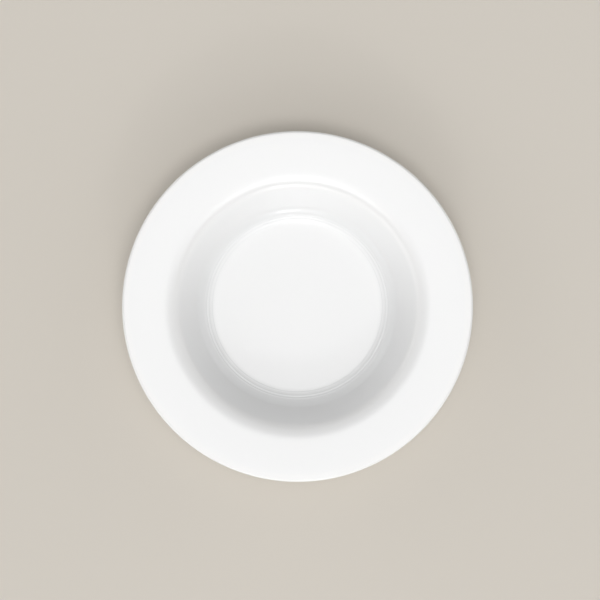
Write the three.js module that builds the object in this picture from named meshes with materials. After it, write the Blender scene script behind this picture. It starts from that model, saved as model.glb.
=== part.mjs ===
// A deep china plate with a wide rim: a turned porcelain body, glazed all over except for the foot ring,
// which is wiped bare so that the plate does not stick to the kiln shelf.
// Millimetres, +Z up. The plate stands on z = 0 and its axis of turning is Z.
import * as THREE from 'three';

// ---- driving dimensions -------------------------------------------------------------------------
// Radii are measured from the axis. "Corner" means where two straight stretches of the outline would
// cross if the bend between them were sharp.
const rimRadius = 125;          // finished edge of the plate
const rimSlope = 3;             // the rim rises gently to its edge, degrees
const edgeThickness = 3.4;
const edgeRounding = 1.6;

const wallSlope = 56;           // degrees
const wallThickness = 4.2;
const shoulderCorner = 86.1;    // wall and brow
const shoulderRounding = 7.5;
const browSlope = 18;           // the brow flattens the shoulder slowly into the rim, degrees
const browCorner = 92.2;        // brow and rim
const browRounding = 27;

const floorHeight = 7;          // finished floor of the well above the table
const floorThickness = 4;
const floorRadius = 62;         // the floor is level this far out
const floorRounding = 2;
const bandSlope = 12.5;         // a shallow sloping band frames the floor, degrees
const wellCorner = 70.7;        // band and wall
const wellRounding = 13;
const heelRounding = 7;         // the bend on the underside, at the foot of the wall

const footRadius = 63;          // middle of the face that the plate stands on
const footWidth = 2.8;
const footDraft = 78;           // slope of the foot ring's two sides, degrees
const footRounding = 0.5;       // edges of the standing face
const footFillet = 1.2;         // foot ring running into the base

const glazeThickness = 0.3;
const glazeSeam = 0.02;         // hairline kept between the clay and its coat
const glazeLine = 1.1;          // the foot is bare below this height

const facets = 48;              // flats round the plate
const chordError = 0.1;         // how far a flat may lie from a rounded outline

// ---- drawing an outline: x is the radius, y is the height ----------------------------------------
const slope = (degrees) => Math.tan(THREE.MathUtils.degToRad(degrees));

function crossing([x1, y1], slope1, [x2, y2], slope2) {
  // Where two lines cross, each given by a point and its slope.
  const x = (y2 - y1 + slope1 * x1 - slope2 * x2) / (slope1 - slope2);
  return [x, y1 + slope1 * (x - x1)];
}

function roundedCorner(before, corner, after, radius) {
  // The arc that rounds a corner, as points from one tangent to the other.
  const back = before.clone().sub(corner).normalize();
  const ahead = after.clone().sub(corner).normalize();
  const halfAngle = Math.acos(back.dot(ahead)) / 2;
  const middle = back.clone().add(ahead).normalize();
  const centre = corner.clone().addScaledVector(middle, radius / Math.sin(halfAngle));
  const start = corner.clone().addScaledVector(back, radius / Math.tan(halfAngle)).sub(centre);
  const turn = (Math.PI - 2 * halfAngle) * -Math.sign(back.cross(ahead));
  const largestStep = 2 * Math.acos(1 - chordError / Math.max(radius, chordError));
  const steps = Math.ceil(Math.abs(turn) / largestStep);
  const origin = new THREE.Vector2();
  return Array.from({ length: steps + 1 }, (_, i) =>
    start.clone().rotateAround(origin, (turn * i) / steps).add(centre));
}

function rounded(corners) {
  // An outline through corners [x, y, radius]: a corner with no radius stays sharp.
  const at = corners.map(([x, y]) => new THREE.Vector2(x, y));
  return corners.flatMap(([, , radius], i) =>
    radius ? roundedCorner(at[i - 1], at[i], at[i + 1], radius) : [at[i]]);
}

function movedOut(outline, depth) {
  // The same outline moved to its left, which is away from the clay. Points on the axis stay on it.
  return outline.map((point, i) => {
    const before = outline[i - 1];
    const after = outline[i + 1];
    const stretches = [];
    if (before) stretches.push(point.clone().sub(before));
    if (after) stretches.push(after.clone().sub(point));
    const normals = stretches.map((way) => new THREE.Vector2(-way.y, way.x).normalize());
    const normal = normals.length === 2 ? normals[0].clone().add(normals[1]).normalize() : normals[0];
    const moved = point.clone().addScaledVector(normal, depth / normal.dot(normals[0]));
    if (point.x === 0) moved.x = 0;
    return moved;
  });
}

// ---- the clay outline, from the middle of the well, over the rim and back under to the axis --------
const coat = glazeSeam + glazeThickness;
const clayFloor = floorHeight - coat;
const clayBase = floorHeight - floorThickness + coat;
const clayEdge = rimRadius - coat;
const bandTop = clayFloor + (wellCorner - floorRadius) * slope(bandSlope);
const shoulderHeight = bandTop + (shoulderCorner - wellCorner) * slope(wallSlope);
const browHeight = shoulderHeight + (browCorner - shoulderCorner) * slope(browSlope);
const edgeTop = browHeight + (clayEdge - browCorner) * slope(rimSlope);
const edgeBottom = edgeTop - edgeThickness;

// The underside of the wall is parallel to its face; the underside of the rim tapers to the edge.
const wallLean = THREE.MathUtils.degToRad(wallSlope);
const wallUnder = [
  wellCorner + wallThickness * Math.sin(wallLean),
  bandTop - wallThickness * Math.cos(wallLean),
];
const underSlope = slope(rimSlope) + (wallThickness - edgeThickness) / (clayEdge - shoulderCorner);
const shoulderUnder = crossing(wallUnder, slope(wallSlope), [clayEdge, edgeBottom], underSlope);
const heelCorner = crossing(wallUnder, slope(wallSlope), [0, clayBase], 0);

// Half the foot ring's width at a height above the table: its two sides lean in to the standing face.
const footHalf = (height) => footWidth / 2 + height / slope(footDraft);

const frontToFoot = rounded([
  [0, clayFloor],
  [floorRadius, clayFloor, floorRounding],
  [wellCorner, bandTop, wellRounding],
  [shoulderCorner, shoulderHeight, shoulderRounding],
  [browCorner, browHeight, browRounding],
  [clayEdge, edgeTop, edgeRounding],
  [clayEdge, edgeBottom, edgeRounding],
  [...shoulderUnder, shoulderRounding - wallThickness],
  [...heelCorner, heelRounding],
  [footRadius + footHalf(clayBase), clayBase, footFillet],
  [footRadius + footHalf(glazeLine), glazeLine],
]);

const foot = rounded([
  [footRadius + footHalf(glazeLine), glazeLine],
  [footRadius + footHalf(0), 0, footRounding],
  [footRadius - footHalf(0), 0, footRounding],
  [footRadius - footHalf(glazeLine), glazeLine],
]);

const footToAxis = rounded([
  [footRadius - footHalf(glazeLine), glazeLine],
  [footRadius - footHalf(clayBase), clayBase, footFillet],
  [0, clayBase],
]);

const clayOutline = [...frontToFoot, ...foot.slice(1, -1), ...footToAxis];

// ---- solids -------------------------------------------------------------------------------------
function turned(outline, name, material) {
  // A solid of revolution about Z. Its outline runs from the axis back to the axis, clay on its right.
  const shape = new THREE.LatheGeometry(outline.toReversed(), facets);
  shape.rotateX(Math.PI / 2);
  const mesh = new THREE.Mesh(shape, material);
  mesh.name = name;
  return mesh;
}

function coatOver(outline) {
  // The glaze on a stretch of the clay outline that starts on the axis: out along its face, back inside.
  return [...movedOut(outline, coat), ...movedOut(outline, glazeSeam).reverse()];
}

function coatUnder(outline) {
  // The same on a stretch that ends on the axis.
  return [...movedOut(outline, glazeSeam).reverse(), ...movedOut(outline, coat)];
}

// ---- materials ----------------------------------------------------------------------------------
const bareClay = new THREE.MeshStandardMaterial({ color: 0xe6dfd2, roughness: 0.85, metalness: 0 });
const whiteGlaze = new THREE.MeshStandardMaterial({ color: 0xf4f4f2, roughness: 0.12, metalness: 0 });

const plate = new THREE.Group();
plate.add(
  turned(clayOutline, 'porcelain_body', bareClay),
  turned(coatOver(frontToFoot), 'outer_glaze', whiteGlaze),
  turned(coatUnder(footToAxis), 'base_glaze', whiteGlaze),
);

export default plate;
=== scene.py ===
# %% [markdown]
# # A deep china plate
# The real plate is one piece of white porcelain. A heated head presses soft clay over a spinning plaster
# mould, so every section through the middle of the plate is the same. The fired body is then dipped in
# glaze, and the ring that it stands on is wiped clean, or the plate would weld itself to the kiln shelf.
# This lesson follows the same order: draw half a section, turn it, coat it, then finish clay and glass.
#
# The measuring frame comes first. It holds plain solids of the same plate, and the sizes below are taken
# from it or checked against it.

# %% Load the measuring frame
import math

import bmesh
import bpy
import numpy as np
from mathutils import Matrix, Vector


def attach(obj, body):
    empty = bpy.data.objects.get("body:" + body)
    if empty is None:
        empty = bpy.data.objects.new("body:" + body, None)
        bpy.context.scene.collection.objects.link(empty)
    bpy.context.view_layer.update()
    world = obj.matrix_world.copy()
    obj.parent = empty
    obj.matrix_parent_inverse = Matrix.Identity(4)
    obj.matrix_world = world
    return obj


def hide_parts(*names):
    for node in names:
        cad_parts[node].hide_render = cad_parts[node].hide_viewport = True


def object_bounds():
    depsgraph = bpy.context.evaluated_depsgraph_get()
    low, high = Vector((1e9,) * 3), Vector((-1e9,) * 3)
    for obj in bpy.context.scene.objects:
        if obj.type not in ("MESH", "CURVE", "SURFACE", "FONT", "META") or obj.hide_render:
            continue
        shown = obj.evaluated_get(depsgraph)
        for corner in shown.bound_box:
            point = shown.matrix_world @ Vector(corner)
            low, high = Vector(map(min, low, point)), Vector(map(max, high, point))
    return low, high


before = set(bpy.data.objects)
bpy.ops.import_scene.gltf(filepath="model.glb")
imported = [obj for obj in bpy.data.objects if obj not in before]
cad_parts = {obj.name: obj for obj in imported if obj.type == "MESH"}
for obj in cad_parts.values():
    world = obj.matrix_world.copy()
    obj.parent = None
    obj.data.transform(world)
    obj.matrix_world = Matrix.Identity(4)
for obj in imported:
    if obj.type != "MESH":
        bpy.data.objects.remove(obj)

MM = 0.001
frame_low, frame_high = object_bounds()
print("frame: %.1f mm across, %.1f mm high" % (
    (frame_high.x - frame_low.x) / MM, (frame_high.z - frame_low.z) / MM))

# %% [markdown]
# ## Drawing half a section
# A plate maker draws a section as straight stretches that meet in corners, and writes a radius at each
# corner. A hand-drawn curve would need dozens of points that mean nothing; corners with radii need one
# line each, and the sizes can be read off. So an outline here is a list of corners, and one function
# rounds them. Outlines are in millimetres: the first number is the distance from the axis, the second the
# height above the table.

# %% Rounding the corners of an outline
ARC_STEP, LONGEST_CHORD = math.radians(5), 0.9


def rounded(corners):
    """Points along corners (distance, height, radius). A corner with no radius stays sharp."""
    outline = []
    for number, (distance, height, *radius) in enumerate(corners):
        corner = Vector((distance, height))
        if not radius:
            outline.append(corner)
            continue
        back = (Vector(corners[number - 1][:2]) - corner).normalized()
        ahead = (Vector(corners[number + 1][:2]) - corner).normalized()
        half_angle = back.angle(ahead) / 2
        centre = corner + (back + ahead).normalized() * radius[0] / math.sin(half_angle)
        arm = corner + back * radius[0] / math.tan(half_angle) - centre
        turn = (math.pi - 2 * half_angle) * (1 if back.cross(ahead) < 0 else -1)
        steps = math.ceil(abs(turn) * max(1 / ARC_STEP, radius[0] / LONGEST_CHORD))
        for step in range(steps + 1):
            angle = turn * step / steps
            outline.append(centre + Vector((
                arm.x * math.cos(angle) - arm.y * math.sin(angle),
                arm.x * math.sin(angle) + arm.y * math.cos(angle))))
    return outline


def crossing(point, slope, other_point, other_slope):
    """Where two lines cross, each given by a point and its slope."""
    (x, y), (other_x, other_y) = point, other_point
    at = (other_y - y + slope * x - other_slope * other_x) / (slope - other_slope)
    return at, y + slope * (at - x)


def slope(degrees):
    return math.tan(math.radians(degrees))


quarter_circle = rounded([(0, 0), (10, 0, 10), (10, 10)])
print("a quarter circle of 10 mm radius becomes", len(quarter_circle) - 1, "points")

# %% [markdown]
# ## The sizes of this plate
# The width, the height of the floor and the height of the base come from the frame. The rest are the
# corners and radii of the section: a level floor, a narrow sloping band with fine rings round it, a steep
# wall, a tight shoulder, a brow that flattens slowly, and a wide rim that rises to a rolled edge. The
# wall keeps its thickness up to the shoulder, and the rim thins towards its edge, which is what the
# forming head does.

# %% Sizes of the section, in millimetres and degrees
def heights_on_the_axis(node):
    return [v.co.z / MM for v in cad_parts[node].data.vertices if v.co.xy.length < 0.1 * MM]


rim_radius = frame_high.x / MM
floor_height = max(heights_on_the_axis("outer_glaze"))
base_height = min(heights_on_the_axis("base_glaze"))

rim_slope, edge_thickness, edge_radius = 3, 3.4, 1.6
wall_slope, wall_thickness = 56, 4.2
shoulder_corner, shoulder_radius = 86.1, 7.5
brow_slope, brow_corner, brow_radius = 18, 92.2, 27
floor_radius, floor_rounding = 62, 2
band_slope, well_corner, well_radius = 12.5, 70.7, 13
heel_radius = 7
foot_radius, foot_width, foot_draft = 63, 2.8, 78
foot_rounding, foot_fillet = 0.5, 1.2
glaze_line = 1.1
glaze_thickness, glaze_seam = 0.3, 0.02
coat = glaze_thickness + glaze_seam

# %% The clay's outline, from the middle of the floor over the rim and back under to the axis
clay_floor, clay_base = floor_height - coat, base_height + coat
clay_edge = rim_radius - coat
band_top = clay_floor + (well_corner - floor_radius) * slope(band_slope)
shoulder_height = band_top + (shoulder_corner - well_corner) * slope(wall_slope)
brow_height = shoulder_height + (brow_corner - shoulder_corner) * slope(brow_slope)
edge_top = brow_height + (clay_edge - brow_corner) * slope(rim_slope)
edge_bottom = edge_top - edge_thickness

wall_lean = math.radians(wall_slope)
wall_under = (
    well_corner + wall_thickness * math.sin(wall_lean),
    band_top - wall_thickness * math.cos(wall_lean))
under_slope = slope(rim_slope) + (wall_thickness - edge_thickness) / (clay_edge - shoulder_corner)
shoulder_under = crossing(wall_under, slope(wall_slope), (clay_edge, edge_bottom), under_slope)
heel_corner = crossing(wall_under, slope(wall_slope), (0, clay_base), 0)


def foot_half(height):
    """Half the width of the foot ring, whose sides lean in to the face that it stands on."""
    return foot_width / 2 + height / slope(foot_draft)


glazed_front = rounded([
    (0, clay_floor),
    (floor_radius, clay_floor, floor_rounding),
    (well_corner, band_top, well_radius),
    (shoulder_corner, shoulder_height, shoulder_radius),
    (brow_corner, brow_height, brow_radius),
    (clay_edge, edge_top, edge_radius),
    (clay_edge, edge_bottom, edge_radius),
    (*shoulder_under, shoulder_radius - wall_thickness),
    (*heel_corner, heel_radius),
    (foot_radius + foot_half(clay_base), clay_base, foot_fillet),
    (foot_radius + foot_half(glaze_line), glaze_line),
])
bare_foot = rounded([
    (foot_radius + foot_half(glaze_line), glaze_line),
    (foot_radius + foot_half(0), 0, foot_rounding),
    (foot_radius - foot_half(0), 0, foot_rounding),
    (foot_radius - foot_half(glaze_line), glaze_line),
])
glazed_base = rounded([
    (foot_radius - foot_half(glaze_line), glaze_line),
    (foot_radius - foot_half(clay_base), clay_base, foot_fillet),
    (0, clay_base),
])
clay_outline = glazed_front + bare_foot[1:-1] + glazed_base
outline_top = max(point.y for point in clay_outline) + coat
print("clay outline: %d points, %.2f mm high with its coat; the frame is %.2f mm" % (
    len(clay_outline), outline_top, frame_high.z / MM))

# %% [markdown]
# ## How deep the glaze lies
# Liquid glass runs out of sharp edges and gathers in hollows, so a glazed plate is never coated evenly:
# the lip is thin, the foot of the wall is thick, and where the glaze was wiped off it ends in a small
# swollen bead. A solidify modifier would give one even skin. Here the coat's depth is worked out point by
# point from how the outline bends, which costs a few lines and gives the soft, slightly fuller look that
# china has in its corners. The fine rings round the floor are turned in the clay; only the glaze's face
# shows them, so it carries them.

# %% Closely spaced points, and how the outline bends at each
pooling_reach, pooling_share = 4.0, 0.5
thinnest, thickest = 0.65, 1.3
bead_swell, bead_width, bead_rounding = 0.3, 0.45, 0.3
ring_distances, ring_height, ring_width = (62.3, 64.9, 66.8), 0.09, 0.42


def spaced(outline, spacing):
    """The outline with points added so that no gap is wider than spacing(point)."""
    points = [outline[0]]
    for start, end in zip(outline, outline[1:]):
        parts = math.ceil((end - start).length / spacing((start + end) / 2))
        points += [start.lerp(end, part / parts) for part in range(1, parts + 1)]
    return points


def lengths_along(outline):
    steps = [(b - a).length for a, b in zip(outline, outline[1:])]
    return np.concatenate([[0.0], np.cumsum(steps)])


def bends(outline, reach):
    """The turn within reach of each point, in quarter turns: more than 0 in a hollow, less over an edge."""
    along = lengths_along(outline)
    ways = [b - a for a, b in zip(outline, outline[1:])]
    headings = np.unwrap([math.atan2(way.y, way.x) for way in ways])
    middles = (along[1:] + along[:-1]) / 2
    turn = np.interp(along + reach, middles, headings) - np.interp(along - reach, middles, headings)
    return turn / (math.pi / 2)


# %% The coat's depth at each point, and the outline moved out by it
def ring_relief(point):
    """The fine rings on the band round the floor."""
    if point.y > band_top + 1 or point.y < clay_floor - 1:
        return 0.0
    offsets = [(point.x - ring) / ring_width for ring in ring_distances]
    return sum(ring_height * math.exp(-offset ** 2) for offset in offsets)


def coat_depths(outline, end):
    """The glaze's depth in millimetres, on an outline that the glaze leaves at its first or last point."""
    even = np.clip(1 + pooling_share * bends(outline, pooling_reach), thinnest, thickest)
    along = lengths_along(outline)
    to_end = along if end == "first" else along[-1] - along
    bead = 1 + bead_swell * np.exp(-((to_end - 2 * bead_width) / bead_width) ** 2)
    closing = np.sqrt(1 - (1 - np.clip(to_end / bead_rounding, 0, 1)) ** 2)
    rings = np.array([ring_relief(point) for point in outline])
    return (glaze_thickness * even * bead + rings) * closing


def moved_out(outline, depths):
    """The outline moved to its left, away from the clay, by a depth at each point."""
    moved = []
    for number, (point, depth) in enumerate(zip(outline, depths)):
        near = outline[max(number - 1, 0)], outline[min(number + 1, len(outline) - 1)]
        ways = [way.normalized() for way in (point - near[0], near[1] - point) if way.length > 0]
        normals = [Vector((-way.y, way.x)) for way in ways]
        normal = sum(normals, Vector((0, 0))).normalized()
        place = point + normal * depth / normal.dot(normals[0])
        moved.append(Vector((0 if point.x == 0 else place.x, place.y)))
    return moved


# %% [markdown]
# ## A coat is a closed shell
# Each coat has an outer face that is finely spaced and an inner face a hairline off the clay, with only
# the points that the clay has. Both run to the axis, so turning them gives one closed shell. Three
# numbers travel with every point: skin is 1 where the glaze's face shows and can ripple, depth is the
# glaze's depth against the usual one, and under is 1 on the side that faces the table.

# %% Outlines of the three pieces
foot_spacing, face_spacing = 0.4, 2.5
band_spacing, bead_spacing, bead_reach = 0.18, 0.11, 1.4


def face_gap(point):
    if floor_radius - 1 < point.x < well_corner and clay_floor - 1 < point.y < band_top:
        return band_spacing
    if point.y < glaze_line + bead_reach:
        return bead_spacing
    return face_spacing


def coat_outline(stretch, end):
    """The shell on a stretch of clay: (points, skins, depths, unders) in order from axis to axis."""
    face = spaced(stretch, face_gap)
    depths = coat_depths(face, end)
    outer = moved_out(face, depths + glaze_seam)
    inner = moved_out(stretch, [glaze_seam] * len(stretch))
    lip = max(range(len(outer)), key=lambda number: outer[number].x)
    unders = [1.0 if end == "first" or number > lip else 0.0 for number in range(len(outer))]
    skins = [min(1.0, depth / glaze_thickness / thinnest) for depth in depths]
    shares = [depth / glaze_thickness for depth in depths]
    blank = [0.0] * len(inner)
    rows = [outer + inner[::-1], skins + blank, shares + blank, unders + blank]
    if end == "first":
        rows = [inner[::-1] + outer, blank + skins, blank + shares, blank + unders]
    return rows


clay_points = glazed_front + spaced(bare_foot, lambda point: foot_spacing)[1:-1] + glazed_base
no_glaze = [0.0] * len(clay_points)
outlines = {
    "clay_body": [clay_points, no_glaze, no_glaze, no_glaze],
    "face_and_rim_glaze": coat_outline(glazed_front, "last"),
    "foot_recess_glaze": coat_outline(glazed_base, "first"),
}
for name, (points, *_) in outlines.items():
    print(name, "has", len(points), "points on its outline")

# %% [markdown]
# ## Writing nodes as sums
# Node trees are quick to draw and slow to read back. A small class stands for one output of a node, and
# its operators add Math nodes, so that a formula reads as it does on paper. One method adds every other
# kind of node: its settings first, because they decide which sockets there are, and then its sockets.
# The same two classes serve the turning tree, the materials and the light.

# %% A wire and a recipe
def pick(sockets, name):
    """A socket by its place in the list, or by its name among those in use."""
    if isinstance(name, int):
        return sockets[name]
    return next(socket for socket in sockets if socket.name == name and socket.enabled)


class Wire:
    """One output of a node. Sums with it add Math nodes."""

    def __init__(self, recipe, socket):
        self.recipe = recipe
        self.socket = socket

    def of(self, name):
        """Another output of the same node."""
        return Wire(self.recipe, pick(self.socket.node.outputs, name))

    def to(self, operation, *others):
        """This value through a Math node."""
        return self.recipe.sum(operation, self, *others)

    def __add__(self, other):
        return self.recipe.sum("ADD", self, other)

    def __radd__(self, other):
        return self.recipe.sum("ADD", other, self)

    def __sub__(self, other):
        return self.recipe.sum("SUBTRACT", self, other)

    def __rsub__(self, other):
        return self.recipe.sum("SUBTRACT", other, self)

    def __mul__(self, other):
        return self.recipe.sum("MULTIPLY", self, other)

    def __rmul__(self, other):
        return self.recipe.sum("MULTIPLY", other, self)

    def __truediv__(self, other):
        return self.recipe.sum("DIVIDE", self, other)

    def __rtruediv__(self, other):
        return self.recipe.sum("DIVIDE", other, self)

    def __pow__(self, other):
        return self.recipe.sum("POWER", self, other)


class Recipe:
    """Adds nodes to a tree."""

    def __init__(self, tree):
        self.tree = tree
        tree.nodes.clear()

    def add(self, kind, settings=None, sockets=None, out=0):
        """A node of a kind, with its settings and then its sockets; returns one of its outputs."""
        node = self.tree.nodes.new(kind)
        for name, value in (settings or {}).items():
            setattr(node, name, value)
        for name, value in (sockets or {}).items():
            self.plug(value, pick(node.inputs, name))
        return Wire(self, pick(node.outputs, out)) if node.outputs else None

    def plug(self, value, socket):
        if isinstance(value, Wire):
            self.tree.links.new(value.socket, socket)
        else:
            socket.default_value = value

    def sum(self, operation, *values):
        return self.add("ShaderNodeMath", {"operation": operation}, dict(enumerate(values)))


# %% [markdown]
# ## Turning the outline
# The Screw modifier and Spin can turn a line too, but they carry no numbers along and leave the poles to
# be mended. This tree lays out a grid with one row for each point of the outline and one column for each
# facet. It bends each row round the axis, then merges the seam and the two poles, so that the shell
# closes. All three pieces are turned with the same facets, so no coat can cut through the clay. Two more
# things happen on the way: the whole plate sags very slightly out of true, as fired plates do, and the
# glaze's own face gets a shallow ripple.

# %% The turning tree
CARRIED = ("skin", "depth", "under")
TREE_INPUTS = (
    ("Outline", "Geometry"),
    ("Facets", "Int"),
    ("Join Distance", "Float"),
    ("Rim Radius", "Float"),
    ("Warp", "Float"),
    ("Ripple Height", "Float"),
    ("Ripple Size", "Float"),
    ("Seed", "Int"),
    ("Material", "Material"),
)


def turning_tree():
    tree = bpy.data.node_groups.new("turn_an_outline", "GeometryNodeTree")
    for name, kind in TREE_INPUTS:
        tree.interface.new_socket(name, in_out="INPUT", socket_type="NodeSocket" + kind)
    tree.interface.new_socket("Turned", in_out="OUTPUT", socket_type="NodeSocketGeometry")
    make = Recipe(tree)
    given = make.add("NodeGroupInput")
    outline = given.of("Outline")

    count = make.add(
        "GeometryNodeAttributeDomainSize", {"component": "MESH"}, {"Geometry": outline}, "Point Count")
    columns = given.of("Facets") + 1
    mesh = make.add("GeometryNodeMeshGrid", {}, {"Vertices X": count, "Vertices Y": columns}, "Mesh")
    index = make.add("GeometryNodeInputIndex")
    station = (index / columns).to("FLOOR")
    turn = (index - station * columns) * (2 * math.pi / given.of("Facets"))

    def at_station(kind, value):
        settings = {"data_type": kind, "domain": "POINT"}
        return make.add(
            "GeometryNodeSampleIndex", settings,
            {"Geometry": outline, "Value": value, "Index": station}, "Value")

    for name in CARRIED:
        carried = make.add(
            "GeometryNodeInputNamedAttribute", {"data_type": "FLOAT"}, {"Name": name}, "Attribute")
        mesh = make.add(
            "GeometryNodeStoreNamedAttribute", {"data_type": "FLOAT", "domain": "POINT"},
            {"Geometry": mesh, "Name": name, "Value": at_station("FLOAT", carried)}, "Geometry")

    position = make.add("GeometryNodeInputPosition")
    place = make.add("ShaderNodeSeparateXYZ", {}, {0: at_station("FLOAT_VECTOR", position)})
    radius = place.of("X")
    sag = given.of("Warp") * (radius / given.of("Rim Radius")) ** 2 * (turn * 2 + 1).to("COSINE")
    bent = make.add("ShaderNodeCombineXYZ", {}, {
        "X": radius * turn.to("COSINE"), "Y": radius * turn.to("SINE"), "Z": place.of("Z") + sag})
    mesh = make.add("GeometryNodeSetPosition", {}, {"Geometry": mesh, "Position": bent}, "Geometry")
    mesh = make.add(
        "GeometryNodeMergeByDistance", {},
        {"Geometry": mesh, "Distance": given.of("Join Distance")}, "Geometry")

    skin = make.add(
        "GeometryNodeInputNamedAttribute", {"data_type": "FLOAT"}, {"Name": "skin"}, "Attribute")
    swell = make.add("ShaderNodeTexNoise", {"noise_dimensions": "4D"}, {
        "Vector": position, "W": given.of("Seed"),
        "Scale": 1 / given.of("Ripple Size"), "Detail": 1.0}, "Fac")
    lift = (swell - 0.5) * 2 * given.of("Ripple Height") * skin
    offset = make.add("ShaderNodeVectorMath", {"operation": "SCALE"}, {
        "Vector": make.add("GeometryNodeInputNormal"), "Scale": lift}, "Vector")
    mesh = make.add("GeometryNodeSetPosition", {}, {"Geometry": mesh, "Offset": offset}, "Geometry")
    mesh = make.add("GeometryNodeSetShadeSmooth", {}, {"Geometry": mesh}, "Geometry")
    mesh = make.add("GeometryNodeRealizeInstances", {}, {"Geometry": mesh}, "Geometry")
    mesh = make.add(
        "GeometryNodeSetMaterial", {}, {"Geometry": mesh, "Material": given.of("Material")}, "Geometry")
    make.add("NodeGroupOutput", {}, {"Turned": mesh})
    return tree


TURNING = turning_tree()
print("the turning tree has", len(TURNING.nodes), "nodes")

# %% [markdown]
# ## The white glaze
# China glaze is clear glass over a white body. It is never one flat white: it is cooler and a touch
# darker where it lies deep, warmer on the lip where the clay shows through, and its gloss is broken by
# a faint orange peel, a few pinholes and, on the floor of a used plate, hair-fine cutlery marks. An image
# texture could hold all that, but formulas on the plate's own coordinates stay sharp at any distance and
# know where the floor is. The depth that travelled with the mesh sets the tint.

# %% Helpers for materials
def new_material(name):
    material = bpy.data.materials.new(name)
    material.use_nodes = True
    return material, Recipe(material.node_tree)


def noise(paint, place, size, detail=2.0, seed=0.0):
    """Soft noise from 0 to 1 whose blotches are about size metres across."""
    return paint.add("ShaderNodeTexNoise", {"noise_dimensions": "4D"}, {
        "Vector": place, "W": seed, "Scale": 1 / size, "Detail": detail}, "Fac")


def mixed(paint, share, first, second):
    """Two colours mixed: share 0 gives the first."""
    settings = {"data_type": "RGBA", "clamp_factor": True}
    return paint.add("ShaderNodeMix", settings, {"Factor": share, "A": first, "B": second}, "Result")


def ramp(paint, value, low, high):
    """0 where value is low or less, 1 where it is high or more, smooth between."""
    return paint.add(
        "ShaderNodeMapRange", {"interpolation_type": "SMOOTHSTEP"},
        {"Value": value, "From Min": low, "From Max": high}, "Result")


STREAK_PEAKS = 0.66, 0.72


def streaks(paint, place, turned, width, length, seed):
    """Hair lines that run one way: noise squeezed along one axis, with only its peaks kept."""
    squeezed = paint.add("ShaderNodeMapping", {}, {
        "Vector": place, "Rotation": (0, 0, math.radians(turned)), "Scale": (1 / length, 1 / width, 1)})
    return ramp(paint, noise(paint, squeezed, 1.0, 1.0, seed), *STREAK_PEAKS)


# %% The glaze itself
COOL_WHITE, WARM_WHITE = (0.780, 0.782, 0.782, 1), (0.792, 0.791, 0.788, 1)
DEEP_GLAZE, THIN_GLAZE = (0.755, 0.760, 0.760, 1), (0.798, 0.795, 0.788, 1)
SPECK = (0.50, 0.47, 0.43, 1)
GLOSS, GLOSS_CHANGE, MARK_DULLNESS = 0.10, 0.05, 0.14
CLOUD_SIZE, CELL_SIZE, GLOSS_PATCH, WORN_PATCH = 45 * MM, 9 * MM, 7 * MM, 30 * MM
DEEP_FROM, THIN_FROM = (1.02, 1.35), (0.02, 0.36)
SPECK_EDGE, SPECK_CELLS, SPECK_SHARE = (0.012, 0.03), (0.93, 0.94), 0.35
PINHOLE_EDGE, PINHOLE_CELLS = (0.02, 0.045), (0.95, 0.96)
PEEL_SIZE, FINE_PEEL_SIZE, RELIEF = 5 * MM, 1.6 * MM, 0.012 * MM
TURNING_PITCH, TURNING_FADE = 1.7 * MM, 14 * MM
WORN_FROM, MARK_DIRECTIONS = (50 * MM, 61 * MM), (71, 118, 160)


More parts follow.
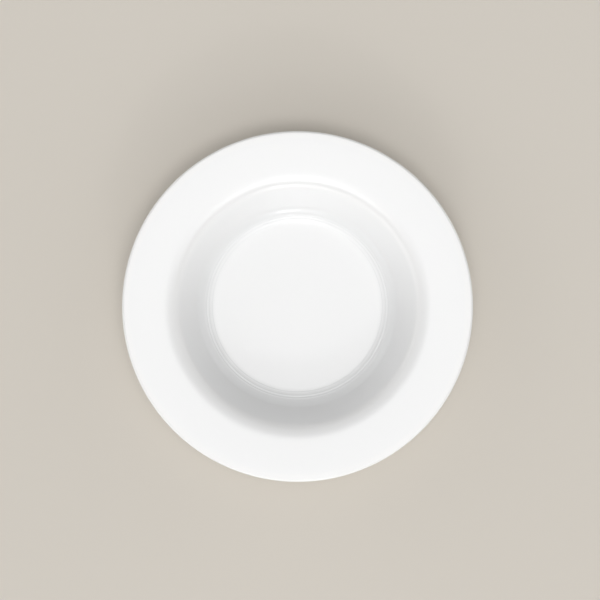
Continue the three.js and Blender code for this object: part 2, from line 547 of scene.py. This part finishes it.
def glaze_material(name, seed):
    material, paint = new_material(name)
    place = paint.add("ShaderNodeTexCoord", out="Object")
    depth = paint.add("ShaderNodeAttribute", {"attribute_name": "depth"}, out="Fac")
    under = paint.add("ShaderNodeAttribute", {"attribute_name": "under"}, out="Fac")
    xyz = paint.add("ShaderNodeSeparateXYZ", {}, {0: place})
    radius = (xyz.of("X") ** 2 + xyz.of("Y") ** 2).to("SQRT")

    white = mixed(paint, noise(paint, place, CLOUD_SIZE, 3.0, seed), COOL_WHITE, WARM_WHITE)
    white = mixed(paint, ramp(paint, depth, *DEEP_FROM), white, DEEP_GLAZE)
    white = mixed(paint, ramp(paint, 1 - depth, *THIN_FROM), white, THIN_GLAZE)
    cells = paint.add("ShaderNodeTexVoronoi", {"feature": "F1"}, {
        "Vector": place, "Scale": 1 / CELL_SIZE, "Randomness": 1.0}, "Distance")
    lottery = paint.add("ShaderNodeSeparateColor", {}, {0: cells.of("Color")})
    speck = (1 - ramp(paint, cells, *SPECK_EDGE)) * ramp(paint, lottery, *SPECK_CELLS)
    colour = mixed(paint, speck * SPECK_SHARE, white, SPECK)

    floor = (1 - ramp(paint, radius, *WORN_FROM)) * (1 - under)
    marks = streaks(paint, place, 24, 0.25 * MM, 26 * MM, seed + 1)
    for number, turned in enumerate(MARK_DIRECTIONS):
        marks = marks.to("MAXIMUM", streaks(paint, place, turned, 0.3 * MM, 22 * MM, seed + 2 + number))
    worn = marks * floor * ramp(paint, noise(paint, place, WORN_PATCH, 1.0, seed + 6), 0.45, 0.6)
    patches = noise(paint, place, GLOSS_PATCH, 2.0, seed + 7) - 0.5
    roughness = GLOSS + patches * GLOSS_CHANGE + worn * MARK_DULLNESS

    fine_peel = noise(paint, place, FINE_PEEL_SIZE, 1.0, seed + 9)
    peel = noise(paint, place, PEEL_SIZE, 1.0, seed + 8) + fine_peel * 0.2
    rings = (radius * (2 * math.pi / TURNING_PITCH)).to("SINE")
    turning = rings * noise(paint, place, TURNING_FADE, 1.0, seed + 10)
    pinhole = (1 - ramp(paint, cells, *PINHOLE_EDGE)) * ramp(paint, 1 - lottery, *PINHOLE_CELLS)
    height = peel + turning * under * 0.35 - pinhole * 1.5 - worn * 0.25
    normal = paint.add("ShaderNodeBump", {}, {"Strength": 1.0, "Distance": RELIEF, "Height": height})

    shader = paint.add("ShaderNodeBsdfPrincipled", {}, {
        "Base Color": colour, "Roughness": roughness, "IOR": 1.52, "Normal": normal})
    paint.add("ShaderNodeOutputMaterial", {}, {"Surface": shader})
    return material


front_glaze = glaze_material("white_glaze_front", 11.0)
recess_glaze = glaze_material("white_glaze_recess", 47.0)
print("glaze materials:", len(front_glaze.node_tree.nodes), "nodes each")

# %% [markdown]
# ## The bare foot ring
# Where the glaze is wiped off, fired porcelain shows: matt, faintly warm, with a grain as fine as sugar.
# The kiln leaves it slightly browner right at the glaze line, and years of being slid over tables leave
# the very face it stands on a little grey and smoother than the rest. Height alone tells these zones
# apart, so the finish is a formula on the height above the table.

# %% Bare porcelain
BISQUE, BISQUE_DARK = (0.70, 0.655, 0.585, 1), (0.63, 0.575, 0.50, 1)
FLASHING, RUBBED = (0.60, 0.50, 0.39, 1), (0.47, 0.455, 0.43, 1)
GRAIN_SIZE, BLOTCH_SIZE, GRAIN_RELIEF = 0.35 * MM, 6 * MM, 0.03 * MM
RUB_HEIGHTS = 0.05 * MM, 0.35 * MM


def bare_porcelain():
    material, paint = new_material("bare_porcelain")
    place = paint.add("ShaderNodeTexCoord", out="Object")
    height = paint.add("ShaderNodeSeparateXYZ", {}, {0: place}).of("Z")
    grain = noise(paint, place, GRAIN_SIZE, 3.0, 3.0)
    blotches = noise(paint, place, BLOTCH_SIZE, 2.0, 4.0)
    colour = mixed(paint, grain * 0.6 + blotches * 0.4, BISQUE, BISQUE_DARK)
    near_glaze = ramp(paint, height, 0.75 * glaze_line * MM, 1.05 * glaze_line * MM)
    colour = mixed(paint, near_glaze * 0.45, colour, FLASHING)
    rub = (1 - ramp(paint, height, *RUB_HEIGHTS)) * ramp(paint, blotches, 0.35, 0.65)
    colour = mixed(paint, rub * 0.6, colour, RUBBED)
    roughness = 0.82 - rub * 0.25 + (grain - 0.5) * 0.15
    normal = paint.add("ShaderNodeBump", {}, {
        "Strength": 1.0, "Distance": GRAIN_RELIEF, "Height": grain * (1 - rub * 0.6)})
    shader = paint.add("ShaderNodeBsdfPrincipled", {}, {
        "Base Color": colour, "Roughness": roughness, "IOR": 1.45, "Normal": normal})
    paint.add("ShaderNodeOutputMaterial", {}, {"Surface": shader})
    return material


bisque = bare_porcelain()
print("bare porcelain:", len(bisque.node_tree.nodes), "nodes")

# %% [markdown]
# ## Turning the three pieces
# Each outline becomes a line of points in the plane that holds the axis, the tree turns it, and the
# result is kept as a plain mesh: the modifier has done its work and goes. Merging can leave faces that
# look the wrong way, so the normals are set outwards last, once the shell is closed. The volume is
# printed because it tells at once if a shell came out inside out or open.

# %% From an outline to a closed mesh
FACETS = 256
LATHE = {
    "Facets": FACETS,
    "Join Distance": 0.002 * MM,
    "Rim Radius": rim_radius * MM,
    "Warp": 0.12 * MM,
    "Ripple Height": 0.008 * MM,
    "Ripple Size": 13 * MM,
    "Seed": 5,
}


def outline_mesh(name, points, *numbers):
    """A line of points in the XZ plane, with the numbers that travel with them."""
    mesh = bpy.data.meshes.new(name)
    places = [(point.x * MM, 0, point.y * MM) for point in points]
    mesh.from_pydata(places, [(n, n + 1) for n in range(len(places) - 1)], [])
    for carried, values in zip(CARRIED, numbers):
        mesh.attributes.new(carried, "FLOAT", "POINT").data.foreach_set("value", values)
    return mesh


def set_inputs(modifier, values):
    """Sets a modifier's inputs by their sockets' identifiers."""
    for item in modifier.node_group.interface.items_tree:
        if item.in_out == "INPUT" and item.name in values:
            modifier[item.identifier] = values[item.name]


def closed_volume(mesh):
    """Turns all faces outwards; returns the volume, and how many edges are open."""
    work = bmesh.new()
    work.from_mesh(mesh)
    bmesh.ops.recalc_face_normals(work, faces=work.faces)
    volume = work.calc_volume(signed=True)
    open_edges = sum(not edge.is_manifold for edge in work.edges)
    work.to_mesh(mesh)
    work.free()
    return volume, open_edges


def turned_piece(name, material):
    piece = bpy.data.objects.new(name, outline_mesh(name, *outlines[name]))
    bpy.context.scene.collection.objects.link(piece)
    lathe = piece.modifiers.new("lathe", "NODES")
    lathe.node_group = TURNING
    set_inputs(lathe, {**LATHE, "Material": material})
    ready = piece.evaluated_get(bpy.context.evaluated_depsgraph_get())
    mesh = bpy.data.meshes.new_from_object(ready)
    piece.modifiers.remove(lathe)
    piece.data = mesh
    volume, open_edges = closed_volume(mesh)
    triangles = sum(len(face.vertices) - 2 for face in mesh.polygons)
    print("%s: %d triangles, %.1f ml, %d open edges" % (name, triangles, volume * 1e6, open_edges))
    return piece


clay_body = turned_piece("clay_body", bisque)
front_coat = turned_piece("face_and_rim_glaze", front_glaze)
recess_coat = turned_piece("foot_recess_glaze", recess_glaze)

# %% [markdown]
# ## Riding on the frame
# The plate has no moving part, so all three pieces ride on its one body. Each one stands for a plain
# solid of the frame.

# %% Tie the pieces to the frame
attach(clay_body, "root")
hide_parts("porcelain_body")
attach(front_coat, "root")
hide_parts("outer_glaze")
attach(recess_coat, "root")
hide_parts("base_glaze")

# %% [markdown]
# ## The table
# White china on a white ground would lose its edge, so the plate stands on a plain pale ground the
# colour of sand. Its tone drifts a little, which keeps the wide surface from looking like paper cut-out.

# %% A plain pale ground
DARKER_SAND, LIGHTER_SAND = (0.60, 0.56, 0.50, 1), (0.63, 0.59, 0.53, 1)
GROUND_REACH, DRIFT_SIZE = 10, 0.5


def plain_ground():
    material, paint = new_material("pale_ground")
    place = paint.add("ShaderNodeTexCoord", out="Object")
    colour = mixed(paint, noise(paint, place, DRIFT_SIZE, 2.0), DARKER_SAND, LIGHTER_SAND)
    shader = paint.add("ShaderNodeBsdfPrincipled", {}, {"Base Color": colour, "Roughness": 0.9})
    paint.add("ShaderNodeOutputMaterial", {}, {"Surface": shader})
    return material


ground_mesh = bpy.data.meshes.new("ground")
corners = [(x * GROUND_REACH, y * GROUND_REACH, 0) for x, y in ((-1, -1), (1, -1), (1, 1), (-1, 1))]
ground_mesh.from_pydata(corners, [], [(0, 1, 2, 3)])
ground_mesh.materials.append(plain_ground())
ground = bpy.data.objects.new("ground", ground_mesh)
bpy.context.scene.collection.objects.link(ground)

# %% [markdown]
# ## Soft studio light
# White gloss shows its light more than its own colour. Square lamps would leave hard-edged reflections
# on it, so most of the light comes from a dark sky with soft round glows. The overhead glows light the
# floor and rim and leave the wall in shade. A row of glows high in front draws the pale bands on the
# brow and round the floor. Dim glows low in front and round the horizon fill the wall. One small lamp
# low in front leaves two short, crisp glints on the wall, which a glow would smear.

# %% Sky and lamps
rim_height = frame_high.z


def way_to(elevation, azimuth):
    """The direction of a light, from degrees. Azimuth 0 is in front of the plate, 90 on its left."""
    e, a = math.radians(elevation), math.radians(azimuth)
    return Vector((-math.sin(a) * math.cos(e), -math.cos(a) * math.cos(e), math.sin(e)))


def studio_sky(glows):
    """A dark sky with soft round glows."""
    world = bpy.data.worlds.new("studio")
    world.use_nodes = True
    bpy.context.scene.world = world
    make = Recipe(world.node_tree)
    way = make.add("ShaderNodeTexCoord", out="Generated")
    light = 0.0
    for elevation, azimuth, half_width, strength in glows:
        facing = make.add(
            "ShaderNodeVectorMath", {"operation": "DOT_PRODUCT"},
            {0: way, 1: way_to(elevation, azimuth)}, "Value")
        tightness = math.log(2) / (1 - math.cos(math.radians(half_width)))
        light = ((facing - 1) * tightness).to("EXPONENT") * strength + light
    background = make.add("ShaderNodeBackground", {}, {"Color": (1, 1, 1, 1), "Strength": light})
    make.add("ShaderNodeOutputWorld", {}, {"Surface": background})


def soft_box(name, elevation, azimuth, width, depth, watts, distance=1.5):
    """A rectangle of light that looks at the plate."""
    lamp = bpy.data.lights.new(name, "AREA")
    lamp.shape = "RECTANGLE"
    lamp.size, lamp.size_y, lamp.energy = width, depth, watts
    way = way_to(elevation, azimuth)
    stand = bpy.data.objects.new(name, lamp)
    stand.location = way * distance + Vector((0, 0, rim_height))
    stand.rotation_euler = (-way).to_track_quat("-Z", "Y").to_euler()
    bpy.context.scene.collection.objects.link(stand)


# Each glow is its elevation, azimuth and half-width in degrees, and then its strength.
OVERHEAD = ((90, 0, 12, 3.2), (72, 90, 14, 0.3), (72, -90, 14, 0.6), (72, 180, 14, 0.4))
HIGH_FRONT = (
    (79, 0, 7, 2.0), (68, 0, 6, 7.0), (67, -35, 6, 4.2), (67, 35, 6, 3.4), (68, 65, 6, 1.3),
    (68, -65, 6, 1.9))
LOW_FRONT = ((28, 0, 18, 1.3), (28, -45, 18, 0.5), (28, 45, 18, 0.5))
HORIZON = (
    (8, 0, 20, 1.5), (8, -60, 20, 0.9), (8, -120, 20, 1.3), (8, 180, 20, 0.6), (8, 120, 20, 1.6),
    (8, 60, 20, 1.6))
studio_sky(OVERHEAD + HIGH_FRONT + LOW_FRONT + HORIZON)
soft_box("low_glint", elevation=25, azimuth=-7, width=0.26, depth=0.12, watts=1.7)
bpy.context.scene.view_settings.view_transform = "Standard"

# %% [markdown]
# ## The camera
# The plate is looked at from almost straight above, about a metre over its rim. The camera leans a
# little over one degree towards the front left, which slides the floor against the rim. A long lens
# keeps the circle true. Its height follows from how much of the picture's width the plate fills.

# %% Place the camera
LENS, SENSOR = 85, 36
PLATE_SHARE = 0.5867
LEAN_SIDE, LEAN_FRONT = -0.0085, -0.0212
SHIFT_ACROSS, SHIFT_UP = 0.00375, 0.0099
height = 2 * rim_radius * MM / PLATE_SHARE * LENS / SENSOR
camera_data = bpy.data.cameras.new("camera")
camera_data.lens, camera_data.sensor_width = LENS, SENSOR
camera_data.shift_x, camera_data.shift_y = SHIFT_ACROSS, SHIFT_UP
camera = bpy.data.objects.new("camera", camera_data)
camera.location = (LEAN_SIDE * height, LEAN_FRONT * height, rim_height + height)
aim = (Vector((0, 0, rim_height)) - camera.location).normalized()
right = aim.cross(Vector((0, 1, 0))).normalized()
camera.rotation_euler = Matrix((right, right.cross(aim), -aim)).transposed().to_euler()
bpy.context.scene.collection.objects.link(camera)
bpy.context.scene.camera = camera
print("camera: %.0f mm above the rim" % (height / MM))
